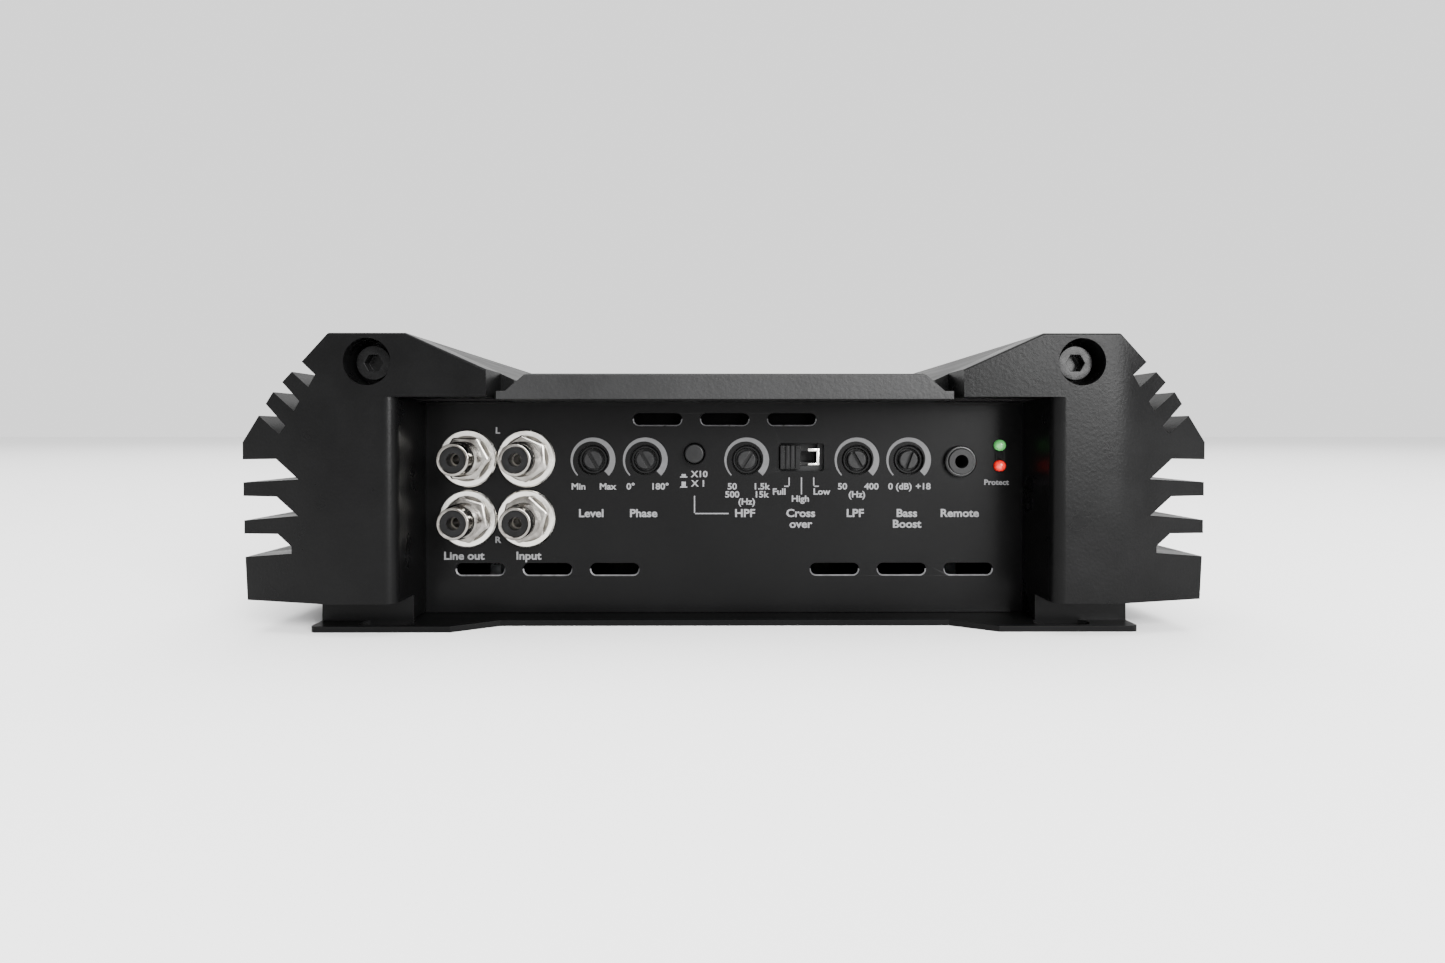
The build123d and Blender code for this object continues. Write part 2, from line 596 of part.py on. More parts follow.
with BuildPart() as standoffs:
    with BuildSketch(Plane.XY.offset(SHEET)):
        with Locations(*STANDOFF_PLACES):
            RegularPolygon(2.75, 6, major_radius=False)
            Circle(1.5, mode=Mode.SUBTRACT)
    extrude(amount=PCB_Z - SHEET)
write(standoffs, "standoffs")

with BuildPart() as board_screws:
    for x, y in STANDOFF_PLACES:
        post(x, y, 2.8, PCB_Z + BOARD, PCB_Z + BOARD + 2.0)
        post(x, y, 1.45, PCB_Z - 5.0, PCB_Z + BOARD)
write(board_screws, "board_screws")


# Wound cores standing on the main board
def make_toroid(x, y, outer_r, inner_r, height, label):
    with BuildPart() as toroid:
        with BuildSketch(Plane.XZ):
            with Locations(((outer_r + inner_r) / 2, PCB_Z + BOARD + height / 2)):
                RectangleRounded(outer_r - inner_r, height, (outer_r - inner_r) * 0.3)
        revolve(axis=Axis.Z)
        toroid.part = toroid.part.moved(Location((x, y, 0)))
    write(toroid, label)


make_toroid(-28.0, -40.0, 24.0, 9.0, 24.0, "power_transformer")
make_toroid(34.0, 60.0, 17.0, 7.0, 15.0, "output_inductor")

with BuildPart() as filter_capacitors:
    for x, y in CAPACITOR_PLACES:
        post(x, y, CAPACITOR_R, PCB_Z + BOARD, CAPACITOR_TOP)
    chamfer(filter_capacitors.edges().group_by(Axis.Z)[-1], 0.8)
write(filter_capacitors, "filter_capacitors")


# Power devices: an insulating strip, six packages and a clamp bar on each heatsink wall
def make_devices(side, side_name):
    strip_face = CAVITY_X - 0.4
    device_face = strip_face - DEVICE_THICK
    with BuildPart() as insulator:
        slab(ordered(side * CAVITY_X, side * strip_face), DEVICE_RUN, (20.0, 44.0))
    write(insulator, f"insulator_strip_{side_name}")
    with BuildPart() as transistors:
        for y in DEVICE_Y:
            slab(ordered(side * strip_face, side * device_face),
                 (y - DEVICE_WIDTH / 2, y + DEVICE_WIDTH / 2), DEVICE_Z)
            for lead in LEAD_Y:
                slab(ordered(side * (CAVITY_X - 3.0), side * (CAVITY_X - 3.6)),
                     (y + lead - 0.6, y + lead + 0.6), (8.0, DEVICE_Z[0]))
    write(transistors, f"transistors_{side_name}")
    with BuildPart() as clamp_bar:
        slab(ordered(side * device_face, side * (device_face - 2.0)), DEVICE_RUN, (28.0, 36.0))
    write(clamp_bar, f"clamp_bar_{side_name}")


make_devices(-1, "left")
make_devices(1, "right")


# Barrier strips at the power end, with plates and screws for ring terminals
TERMINAL_Z = sum(STRIP_Z) / 2
BLADE_Z = (TERMINAL_Z - FUSE_BLADE_PITCH / 2, TERMINAL_Z + FUSE_BLADE_PITCH / 2)


def bay_pitch(strip):
    """Distance between the barriers of a strip."""
    low, high, bays = strip
    return (high - low - BARRIER) / bays


def bay_centres(strip):
    """X of the middle of each bay of a strip."""
    low, _, bays = strip
    return [low + BARRIER / 2 + bay_pitch(strip) * (bay + 0.5) for bay in range(bays)]


def make_strip(strip, hole_r, label):
    low, high, bays = strip
    with BuildPart() as terminal_strip:
        slab((low, high), (PANEL_Y, STRIP_FACE), STRIP_Z)
        slab((low + STRIP_RIM, high - STRIP_RIM), (PANEL_Y - 5, PANEL_Y),
             (STRIP_Z[0] + STRIP_RIM, STRIP_Z[1] - STRIP_RIM))
        for barrier in range(bays + 1):
            edge = low + barrier * bay_pitch(strip)
            slab((edge, edge + BARRIER), (STRIP_FACE, STRIP_TIP), STRIP_Z)
        for x in bay_centres(strip):
            rod(x, TERMINAL_Z, hole_r, PANEL_Y - 4, STRIP_FACE + 1, mode=Mode.SUBTRACT)
    write(terminal_strip, label)


make_strip(POWER_STRIP, POWER_SCREW[2], "power_terminal_strip")
make_strip(SPEAKER_STRIP, SPEAKER_SCREW[2], "speaker_terminal_strip")

TERMINALS = [(x, *POWER_SCREW) for x in bay_centres(POWER_STRIP)]
TERMINALS += [(x, *SPEAKER_SCREW) for x in bay_centres(SPEAKER_STRIP)]

with BuildPart() as terminal_plates:
    for x, width, _, hole_r in TERMINALS:
        slab((x - width / 2, x + width / 2), (STRIP_FACE, STRIP_FACE + PLATE),
             (STRIP_Z[0] + 2, STRIP_Z[1] - 2))
        rod(x, TERMINAL_Z, hole_r, STRIP_FACE - 1, STRIP_FACE + 2, mode=Mode.SUBTRACT)
write(terminal_plates, "terminal_plates")

with BuildPart() as terminal_screws:
    seat = STRIP_FACE + PLATE
    for x, _, head_r, hole_r in TERMINALS:
        rod(x, TERMINAL_Z, head_r, seat, seat + SCREW_HEAD)
        rod(x, TERMINAL_Z, hole_r - RUNNING_GAP, PANEL_Y - 3, seat)
        slab((x - head_r, x + head_r), (seat + 1.4, seat + 3), (TERMINAL_Z - 0.5, TERMINAL_Z + 0.5),
             mode=Mode.SUBTRACT)
        slab((x - 0.5, x + 0.5), (seat + 1.4, seat + 3), (TERMINAL_Z - head_r, TERMINAL_Z + head_r),
             mode=Mode.SUBTRACT)
write(terminal_screws, "terminal_screws")

# Fuse holder and two blade fuses
with BuildPart() as fuse_holder:
    slab((-FUSE_HOLDER_X, FUSE_HOLDER_X), (PANEL_Y, PANEL_Y + 4.0), STRIP_Z)
    slab((-FUSE_HOLDER_TAIL_X, FUSE_HOLDER_TAIL_X), (PANEL_Y - 6.0, PANEL_Y),
         (STRIP_Z[0] + 2, STRIP_Z[1] - 2))
    for x in FUSE_X:
        for z in BLADE_Z:
            slab((x - FUSE_BLADE / 2 - 0.1, x + FUSE_BLADE / 2 + 0.1),
                 (PANEL_Y - 5.0, PANEL_Y + 5.0),
                 (z - FUSE_BLADE_WIDTH / 2 - 0.1, z + FUSE_BLADE_WIDTH / 2 + 0.1),
                 mode=Mode.SUBTRACT)
write(fuse_holder, "fuse_holder")

for number, x in enumerate(FUSE_X, start=1):
    with BuildPart() as fuse:
        slab((x - 2.5, x + 2.5), (PANEL_Y + 4.0, PANEL_Y + 12.0),
             (TERMINAL_Z - FUSE_HEIGHT / 2, TERMINAL_Z + FUSE_HEIGHT / 2))
        fillet(fuse.edges().filter_by(Axis.Y), 0.8)
        slab((x - 3.1, x + 3.1), (PANEL_Y + 10.5, PANEL_Y + 14.0),
             (TERMINAL_Z - FUSE_HEIGHT / 2 - 0.6, TERMINAL_Z + FUSE_HEIGHT / 2 + 0.6))
        for z in BLADE_Z:
            slab((x - FUSE_BLADE / 2, x + FUSE_BLADE / 2), (PANEL_Y - 4.0, PANEL_Y + 4.0),
                 (z - FUSE_BLADE_WIDTH / 2, z + FUSE_BLADE_WIDTH / 2))
    write(fuse, f"fuse_{number}")
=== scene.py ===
# %% [markdown]
# # A car amplifier
# A finned aluminium amplifier seen at its control end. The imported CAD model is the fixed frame: it
# gives every place and size, in metres. This lesson gives its shells their softened edges, draws
# the printed legends and dials, winds the coils, and makes a finish for every piece.

# %% Load the frame
import json
from math import atan2, cos, pi, radians, sin

import bmesh
import bpy
from mathutils import Matrix, Vector


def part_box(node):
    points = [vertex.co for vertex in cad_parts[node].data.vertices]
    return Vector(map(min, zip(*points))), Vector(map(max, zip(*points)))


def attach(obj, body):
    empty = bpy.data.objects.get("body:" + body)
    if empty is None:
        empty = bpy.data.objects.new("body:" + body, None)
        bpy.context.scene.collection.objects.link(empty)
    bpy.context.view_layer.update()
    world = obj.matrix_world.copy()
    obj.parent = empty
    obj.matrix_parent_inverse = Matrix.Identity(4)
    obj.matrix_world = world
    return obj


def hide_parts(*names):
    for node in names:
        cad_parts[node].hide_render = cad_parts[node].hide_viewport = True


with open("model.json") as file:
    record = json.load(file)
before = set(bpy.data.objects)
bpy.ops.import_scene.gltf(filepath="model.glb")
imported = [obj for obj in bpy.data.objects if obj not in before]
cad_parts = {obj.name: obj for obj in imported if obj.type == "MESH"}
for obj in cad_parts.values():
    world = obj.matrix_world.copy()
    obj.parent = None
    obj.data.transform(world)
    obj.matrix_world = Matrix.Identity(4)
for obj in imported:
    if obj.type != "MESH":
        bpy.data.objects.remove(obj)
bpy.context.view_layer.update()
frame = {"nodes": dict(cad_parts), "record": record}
nodes = frame["nodes"]
MM = 0.001
print("loaded", len(nodes), "nodes")

# %% [markdown]
# ## Finding places
# A place comes from the frame where a node gives it. The front face of the control panel is the
# plane that the legends, dials and rims sit on, and each control's centre is the middle of its
# own box. The vents and the switch window are holes, so their places are written with their rims.


# %% Places
def span(node):
    """The lowest and highest corner of a node, as vectors."""
    low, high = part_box(node)
    return Vector(low), Vector(high)


def middle(node):
    low, high = span(node)
    return (low + high) / 2


PANEL_Y = span("control_panel")[0].y
print("control panel face at", round(PANEL_Y, 4))

# %% [markdown]
# ## Finishes
# Real surfaces are never one flat colour: castings have a fine grain, extrusions carry drawn
# lines, plating has smudges. One helper makes a principled shader and the next two add a grain to
# its height, and a cloud to its colour and roughness. All patterns read object coordinates,
# so they keep their real size in every view.


# %% Shader helpers
def finish(name, colour, roughness, metallic=0.0, specular=0.5):
    """A principled material with its uniform values set on the shader's own sockets."""
    material = bpy.data.materials.new(name)
    material.use_nodes = True
    shader = material.node_tree.nodes["Principled BSDF"]
    shader.inputs["Base Color"].default_value = (*colour, 1.0)
    shader.inputs["Roughness"].default_value = roughness
    shader.inputs["Metallic"].default_value = metallic
    shader.inputs["Specular IOR Level"].default_value = specular
    return material


def pattern(material, scale, stretch=(1, 1, 1), detail=4.0):
    """A noise pattern in object coordinates; the stretch is the scale along each axis."""
    tree = material.node_tree
    place = tree.nodes.new("ShaderNodeTexCoord")
    mapping = tree.nodes.new("ShaderNodeMapping")
    mapping.inputs["Scale"].default_value = stretch
    noise = tree.nodes.new("ShaderNodeTexNoise")
    noise.inputs["Scale"].default_value = scale
    noise.inputs["Detail"].default_value = detail
    tree.links.new(place.outputs["Object"], mapping.inputs["Vector"])
    tree.links.new(mapping.outputs["Vector"], noise.inputs["Vector"])
    return noise


def grain(material, scale, depth, strength=0.5, stretch=(1, 1, 1)):
    """Raise a fine grain of the given depth in metres."""
    tree = material.node_tree
    noise = pattern(material, scale, stretch)
    bump = tree.nodes.new("ShaderNodeBump")
    bump.inputs["Strength"].default_value = strength
    bump.inputs["Distance"].default_value = depth
    tree.links.new(noise.outputs["Fac"], bump.inputs["Height"])
    tree.links.new(bump.outputs["Normal"], tree.nodes["Principled BSDF"].inputs["Normal"])


def cloud(material, scale, dark, light, rough_low, rough_high, stretch=(1, 1, 1)):
    """Vary the colour between two tones and the roughness between two values."""
    tree = material.node_tree
    shader = tree.nodes["Principled BSDF"]
    noise = pattern(material, scale, stretch, detail=6.0)
    ramp = tree.nodes.new("ShaderNodeValToRGB")
    ramp.color_ramp.elements[0].position = 0.3
    ramp.color_ramp.elements[0].color = (*dark, 1)
    ramp.color_ramp.elements[1].position = 0.7
    ramp.color_ramp.elements[1].color = (*light, 1)
    spread = tree.nodes.new("ShaderNodeMapRange")
    spread.inputs["From Min"].default_value = 0.3
    spread.inputs["From Max"].default_value = 0.7
    spread.inputs["To Min"].default_value = rough_low
    spread.inputs["To Max"].default_value = rough_high
    tree.links.new(noise.outputs["Fac"], ramp.inputs["Fac"])
    tree.links.new(noise.outputs["Fac"], spread.inputs["Value"])
    tree.links.new(ramp.outputs["Color"], shader.inputs["Base Color"])
    tree.links.new(spread.outputs["Result"], shader.inputs["Roughness"])


def grey(value):
    return (value, value, value * 1.03)


# %% [markdown]
# ### The shells
# The heatsinks are black anodised extrusions: the die leaves faint lines along their length, so
# their noise is drawn out along Y. The caps and the cover are painted castings with a fine
# orange-peel grain. The panels and the base are smooth powder-coated sheet.

# %% Shell finishes
anodised = finish("anodised_black", grey(0.003), 0.40, specular=0.07)
cloud(anodised, 60, grey(0.0025), grey(0.004), 0.34, 0.44, stretch=(8, 0.4, 8))
grain(anodised, 900, 0.00012, 0.35, stretch=(3, 0.03, 3))

cast_black = finish("cast_black", grey(0.0022), 0.30, specular=0.07)
cloud(cast_black, 90, grey(0.0018), grey(0.0028), 0.26, 0.34)
grain(cast_black, 1500, 0.00014, 0.30)

cover_black = finish("cover_black", grey(0.005), 0.44, specular=0.20)
cloud(cover_black, 70, grey(0.005), grey(0.008), 0.40, 0.50)
grain(cover_black, 1100, 0.00018, 0.40)

panel_black = finish("panel_black", grey(0.0025), 0.30, specular=0.07)
cloud(panel_black, 40, grey(0.0022), grey(0.003), 0.28, 0.33)
grain(panel_black, 2600, 0.00004, 0.15)

print("shell finishes made")

# %% [markdown]
# ### Metals
# The phono sockets are bright nickel with slight smudges, the corner bolts are black oxide, and the
# small screws are zinc. Nickel is a little warm, zinc a little cold. The sockets' barrels and nuts
# take a darker copy of the nickel, which paints shade on them.

# %% Metal finishes
nickel = finish("bright_nickel", (0.62, 0.61, 0.57), 0.20, metallic=1.0)
cloud(nickel, 350, (0.52, 0.50, 0.46), (0.68, 0.67, 0.64), 0.15, 0.30)
grain(nickel, 2500, 0.00005, 0.25)

# A darker copy of the nickel for the barrels and nuts; its darkness is painted shade.
shaded_nickel = finish("nickel_with_painted_shade", (0.20, 0.19, 0.17), 0.16, metallic=1.0)
cloud(shaded_nickel, 420, (0.13, 0.12, 0.11), (0.28, 0.27, 0.25), 0.10, 0.24)

black_oxide = finish("black_oxide", grey(0.002), 0.20, specular=0.10)
cloud(black_oxide, 500, grey(0.002), grey(0.004), 0.17, 0.30)
grain(black_oxide, 3000, 0.00005, 0.25)

zinc = finish("zinc_plate", (0.58, 0.60, 0.62), 0.30, metallic=1.0)
cloud(zinc, 420, (0.48, 0.50, 0.52), (0.66, 0.68, 0.70), 0.24, 0.40)
grain(zinc, 2400, 0.00004, 0.2)

tinned = finish("tinned_steel", (0.72, 0.71, 0.68), 0.22, metallic=1.0)
cloud(tinned, 300, (0.60, 0.59, 0.56), (0.80, 0.79, 0.76), 0.16, 0.34)
grain(tinned, 2000, 0.00004, 0.2, stretch=(1, 1, 6))

bare_aluminium = finish("mill_aluminium", (0.66, 0.67, 0.68), 0.36, metallic=1.0)
cloud(bare_aluminium, 200, (0.58, 0.59, 0.60), (0.72, 0.73, 0.74), 0.30, 0.45, stretch=(1, 0.1, 1))
grain(bare_aluminium, 1500, 0.00004, 0.2, stretch=(1, 0.05, 1))

plated_brass = finish("plated_brass", (0.74, 0.62, 0.36), 0.28, metallic=1.0)
cloud(plated_brass, 260, (0.64, 0.52, 0.28), (0.80, 0.70, 0.44), 0.22, 0.38)
grain(plated_brass, 1800, 0.00004, 0.2)

enamelled_copper = finish("enamelled_copper", (0.46, 0.16, 0.05), 0.30, metallic=0.6)
cloud(enamelled_copper, 300, (0.36, 0.11, 0.03), (0.55, 0.21, 0.08), 0.22, 0.38)
grain(enamelled_copper, 1600, 0.00004, 0.2)
print("metal finishes made")

# %% [markdown]
# ### Plastics, prints and lenses
# Mouldings differ mostly in gloss. The print is a matt mid grey ink. The lenses are clear tinted
# plastic in front of a small lit chip, so each one carries a little light of its own colour.

# %% Plastic and print finishes
moulded_black = finish("moulded_black", grey(0.004), 0.46, specular=0.18)
cloud(moulded_black, 180, grey(0.003), grey(0.006), 0.40, 0.54)
grain(moulded_black, 1800, 0.00006, 0.3)

cap_grey = finish("button_grey", grey(0.006), 0.34, specular=0.14)
cloud(cap_grey, 260, grey(0.005), grey(0.008), 0.30, 0.40)
grain(cap_grey, 2200, 0.00005, 0.25)

shaft_grey = finish("shaft_grey", grey(0.008), 0.36, specular=0.14)
cloud(shaft_grey, 420, grey(0.006), grey(0.010), 0.30, 0.44)
grain(shaft_grey, 2600, 0.00005, 0.25)

knob_black = finish("switch_knob_black", grey(0.003), 0.28, specular=0.14)
cloud(knob_black, 300, grey(0.002), grey(0.004), 0.24, 0.36)
grain(knob_black, 2200, 0.00004, 0.2)

insulator_grey = finish("insulator_grey", grey(0.004), 0.36, specular=0.10)
cloud(insulator_grey, 420, grey(0.003), grey(0.006), 0.30, 0.44)
grain(insulator_grey, 2600, 0.00005, 0.25)

# A dark metal that paints shade: the shade inside the sockets on the contacts, and the shadow round
# each nut's base on the washers.
painted_shade_metal = finish("painted_shade_metal", (0.10, 0.09, 0.08), 0.40, metallic=0.8)
cloud(painted_shade_metal, 500, (0.07, 0.065, 0.06), (0.14, 0.13, 0.11), 0.32, 0.48)

# A near black sheet material that paints the shade inside the case behind the upper vents.
shade_sheet_black = finish("shade_sheet_black", grey(0.0015), 0.90, specular=0.02)
cloud(shade_sheet_black, 700, grey(0.001), grey(0.002), 0.85, 0.95)

ring_black = finish("ring_nut_black", grey(0.004), 0.22, specular=0.25)
cloud(ring_black, 420, grey(0.003), grey(0.006), 0.18, 0.28)

ink = finish("legend_ink", grey(0.125), 0.62, specular=0.3)
cloud(ink, 900, grey(0.11), grey(0.14), 0.56, 0.70)
dial_ink = finish("dial_ink", grey(0.055), 0.55, specular=0.3)
cloud(dial_ink, 900, grey(0.048), grey(0.062), 0.50, 0.62)
# A light grey metal that paints the highlight on the vent and window rims.
rim_highlight_finish = finish("painted_highlight_rim", grey(0.12), 0.30, metallic=0.5)
cloud(rim_highlight_finish, 600, grey(0.09), grey(0.16), 0.25, 0.38)

lens_green = finish("lens_green", (0.10, 0.42, 0.12), 0.16)
cloud(lens_green, 500, (0.08, 0.34, 0.10), (0.14, 0.50, 0.16), 0.12, 0.22)
lens_red = finish("lens_red", (0.72, 0.012, 0.010), 0.16)
cloud(lens_red, 500, (0.60, 0.008, 0.006), (0.85, 0.020, 0.014), 0.12, 0.22)
for lens, glow in ((lens_green, (0.10, 0.60, 0.12)), (lens_red, (0.9, 0.01, 0.01))):
    shader = lens.node_tree.nodes["Principled BSDF"]
    shader.inputs["Emission Color"].default_value = (*glow, 1)
    shader.inputs["Emission Strength"].default_value = 0.25
    shader.inputs["Coat Weight"].default_value = 0.6

solder_mask = finish("solder_mask", (0.012, 0.10, 0.035), 0.34)
cloud(solder_mask, 240, (0.008, 0.07, 0.025), (0.02, 0.14, 0.05), 0.28, 0.42)
sleeve = finish("capacitor_sleeve", (0.01, 0.012, 0.05), 0.30)
cloud(sleeve, 160, (0.008, 0.010, 0.04), (0.014, 0.018, 0.07), 0.24, 0.36)
thermal_pad = finish("thermal_pad", (0.42, 0.43, 0.44), 0.75)
cloud(thermal_pad, 300, (0.36, 0.37, 0.38), (0.48, 0.49, 0.50), 0.68, 0.82)
fuse_orange = finish("fuse_orange", (0.75, 0.20, 0.02), 0.24)
cloud(fuse_orange, 200, (0.66, 0.16, 0.015), (0.82, 0.26, 0.03), 0.18, 0.30)
print("plastic finishes made")

# %% [markdown]
# ### Giving the CAD nodes their finish
# A CAD node keeps its mesh and takes its finish through its material slots. The table says which
# finish goes with which slot of the record.

# %% Finishes by slot
FINISH_OF_SLOT = {
    "heatsink_black": anodised, "cap_black": cast_black, "cover_black": cover_black,
    "sheet_black": panel_black, "bolt_black": black_oxide, "screw_zinc": zinc,
    "nickel": nickel, "insulator_black": moulded_black, "shaft_grey": shaft_grey,
    "control_black": moulded_black, "switch_metal": tinned, "lens_green": lens_green,
    "lens_red": lens_red, "board_green": solder_mask, "core_copper": enamelled_copper,
    "capacitor_sleeve": sleeve, "pad_grey": thermal_pad, "bar_aluminium": bare_aluminium,
    "plate_brass": plated_brass, "fuse_orange": fuse_orange,
}
OWN_FINISH = {
    "push_button": cap_grey, "slide_knob": knob_black, "rca_insulators": insulator_grey,
    # The contacts take a dark metal that paints the shade inside the sockets.
    "rca_contacts": painted_shade_metal, "remote_jack_ring": ring_black,
    # The slide switch's body takes the dark moulding, whose darkness paints the shade in its recess.
    "slide_switch_body": moulded_black,
}

slot_of_node = {row["node"]: row["material_slot"] for row in frame["record"]["subparts"]}
for name, piece in nodes.items():
    material = OWN_FINISH.get(name, FINISH_OF_SLOT[slot_of_node[name]])
    for place in piece.material_slots:
        place.material = material
print("finishes given to", len(nodes), "nodes")

# %% [markdown]
# ## Softened shells
# A folded, cast or extruded edge is never razor sharp: it has a small radius that catches the
# light. Each shell is a copy of its CAD node, welded into clean faces, whose sharp edges are
# bevelled. The copy stands for the node, and stays inside its box, because a bevel only takes
# material away.


# %% Softening helper
def keep_mesh(mesh_builder, name, body, material, smooth_angle=40):
    """Turn a bmesh into an object that rides on a body and takes its finish from a slot."""
    mesh = bpy.data.meshes.new(name)
    mesh_builder.to_mesh(mesh)
    mesh_builder.free()
    mesh.materials.append(material)
    mesh.shade_smooth()
    mesh.set_sharp_from_angle(angle=radians(smooth_angle))
    piece = bpy.data.objects.new(name, mesh)
    bpy.context.scene.collection.objects.link(piece)
    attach(piece, body)
    return piece


body_of_node = {}
for body, members in frame["record"]["behaviour"]["bodies"].items():
    body_of_node.update({member: body for member in members})


def softened(node, width, segments=2, sharp_angle=28):
    """A copy of a node with its sharp edges rounded, shown in the node's place."""
    shell = bmesh.new()
    shell.from_mesh(nodes[node].data)
    bmesh.ops.remove_doubles(shell, verts=shell.verts, dist=2e-6)
    bmesh.ops.dissolve_limit(shell, angle_limit=radians(0.6), verts=shell.verts, edges=shell.edges)
    sharp = [e for e in shell.edges if e.is_manifold and e.calc_face_angle() > radians(sharp_angle)]
    bmesh.ops.bevel(shell, geom=sharp, offset=width, offset_type="OFFSET", affect="EDGES",
                    segments=segments, profile=0.5, material=-1, clamp_overlap=True)
    bmesh.ops.triangulate(shell, faces=[f for f in shell.faces if len(f.verts) > 4])
    piece = keep_mesh(shell, "soft_" + node, body_of_node[node],
                      nodes[node].material_slots[0].material, smooth_angle=50)
    weighted = piece.modifiers.new("even_shading", "WEIGHTED_NORMAL")
    weighted.keep_sharp = True
    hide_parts(node)
    return piece


# %% Soften the castings, extrusions and sheets
SOFT_EDGES = {
    "corner_cap_front_left": 0.45, "corner_cap_front_right": 0.45,
    "corner_cap_rear_left": 0.45, "corner_cap_rear_right": 0.45,
    "heatsink_left": 0.30, "heatsink_right": 0.30, "top_cover": 0.35, "base_plate": 0.25,
    "control_panel": 0.30, "rear_panel": 0.30, "power_terminal_strip": 0.25,
    "speaker_terminal_strip": 0.25, "fuse_holder": 0.25, "fuse_1": 0.25, "fuse_2": 0.25,
    "corner_bolts": 0.22, "terminal_screws": 0.20, "terminal_plates": 0.15,
    "remote_jack_ring": 0.15, "slide_knob": 0.10, "slide_switch_body": 0.12,
    "filter_capacitors": 0.30, "transistors_left": 0.20, "transistors_right": 0.20,
}
SOFT_EDGES.update({name: 0.10 for name in nodes if name.startswith("pot_shaft")})
for node, width_mm in SOFT_EDGES.items():
    piece = softened(node, width_mm * MM)
    print(node, len(piece.data.polygons), "faces")

# %% [markdown]
# ## Phono sockets
# A phono socket is turned from brass bar and nickel plated: a broad flange, a threaded neck and a
# plain barrel. Its outline is drawn once as radius and depth, then spun round the barrel's axis.
# The thread is a row of V-shaped crests, which split the light into bands.

# %% Spinning and joining helpers
ROUND_STEPS = 64
UPRIGHT = Matrix.Rotation(radians(90), 4, "X")


def turned(outline, x, z, steps=ROUND_STEPS):
    """Spin a closed outline of (radius, y) places about a line along Y."""
    lathe = bmesh.new()
    rim = [lathe.verts.new((radius, y, 0)) for radius, y in outline]
    edges = [lathe.edges.new((rim[i - 1], rim[i])) for i in range(len(rim))]
    bmesh.ops.spin(lathe, geom=rim + edges, cent=(0, 0, 0), axis=(0, 1, 0), angle=2 * pi,
                   steps=steps, use_merge=True)
    bmesh.ops.remove_doubles(lathe, verts=lathe.verts, dist=1e-7)
    bmesh.ops.recalc_face_normals(lathe, faces=lathe.faces)
    bmesh.ops.translate(lathe, verts=lathe.verts, vec=(x, 0, z))
    return lathe


def join_into(whole, part):
    """Add the faces of one mesh builder to another, and free it."""
    spare = bpy.data.meshes.new("spare")
    part.to_mesh(spare)
    part.free()
    whole.from_mesh(spare)
    bpy.data.meshes.remove(spare)


# %% Socket shells
THREAD_CREST = 4.60 * MM
THREAD_ROOT = 4.18 * MM
THREAD_PITCH = 0.80 * MM
BARREL = 4.15 * MM
BORE = 3.30 * MM
FLANGE = 7.70 * MM
FLANGE_FACE = PANEL_Y - 1.2 * MM
PANEL_BACK = PANEL_Y + 1.5 * MM


def socket_outline(tip):
    outline = [
        (BORE, PANEL_BACK), (THREAD_CREST, PANEL_BACK), (THREAD_CREST, FLANGE_FACE),
        (THREAD_ROOT, FLANGE_FACE),
    ]
    crests = 9
    for crest in range(crests):
        y = FLANGE_FACE - (crest + 0.5) * THREAD_PITCH
        outline += [(THREAD_CREST, y + 0.08 * MM), (THREAD_CREST, y - 0.08 * MM)]
        outline += [(THREAD_ROOT, y - THREAD_PITCH / 2)]
    outline += [
        (BARREL, FLANGE_FACE - (crests + 0.4) * THREAD_PITCH), (BARREL, tip + 0.35 * MM),
        (BARREL - 0.12 * MM, tip + 0.1 * MM), (BARREL - 0.32 * MM, tip),
        (BORE + 0.2 * MM, tip), (BORE, tip + 0.2 * MM),
    ]
    return outline


FLANGE_OUTLINE = [
    (THREAD_CREST, PANEL_Y), (FLANGE - 0.2 * MM, PANEL_Y), (FLANGE, PANEL_Y - 0.2 * MM),
    (FLANGE, FLANGE_FACE + 0.35 * MM), (FLANGE - 0.35 * MM, FLANGE_FACE), (THREAD_CREST, FLANGE_FACE),
]
shell_names = sorted(name for name in nodes if name.startswith("rca_shell"))
for name in shell_names:
    tip = span(name)[0].y
    centre = middle(name)
    shell = turned(socket_outline(tip), centre.x, centre.z)
    # The barrel takes the darker nickel, which paints shade on it.
    piece = keep_mesh(shell, name.replace("rca_shell", "phono_barrel"), "root",
                      shaded_nickel, 35)
    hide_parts(name)
    flange = turned(FLANGE_OUTLINE, centre.x, centre.z)
    keep_mesh(flange, name.replace("rca_shell", "phono_flange"), "root", nickel, 35)
    print(piece.name, len(piece.data.polygons), "faces")

# %% [markdown]
# Each socket is held by a hex nut on a spring washer, whose dark colour paints the shadow in the
# gap round the nut's base. The nut is a six-sided prism whose corners are rounded and whose face is
# turned to a slight cone; the four nuts stand at four angles, as a spanner leaves them.

# %% Nuts and washers
NUT_ACROSS = 11.0 * MM
NUT_FACE = PANEL_Y - 3.6 * MM
NUT_CORNER_RADIUS = 0.35 * MM
NUT_CONE = 0.45 * MM
NUT_CONE_RISE = 0.22 * MM
NUT_TURNS = (12, 47, 28, 5)
WASHER_FACE = FLANGE_FACE - 0.4 * MM
WASHER_BORE = THREAD_CREST + 0.02 * MM
WASHER_OUTLINE = [
    (WASHER_BORE, FLANGE_FACE), (6.0 * MM, FLANGE_FACE), (6.1 * MM, WASHER_FACE),
    (WASHER_BORE, WASHER_FACE),
]


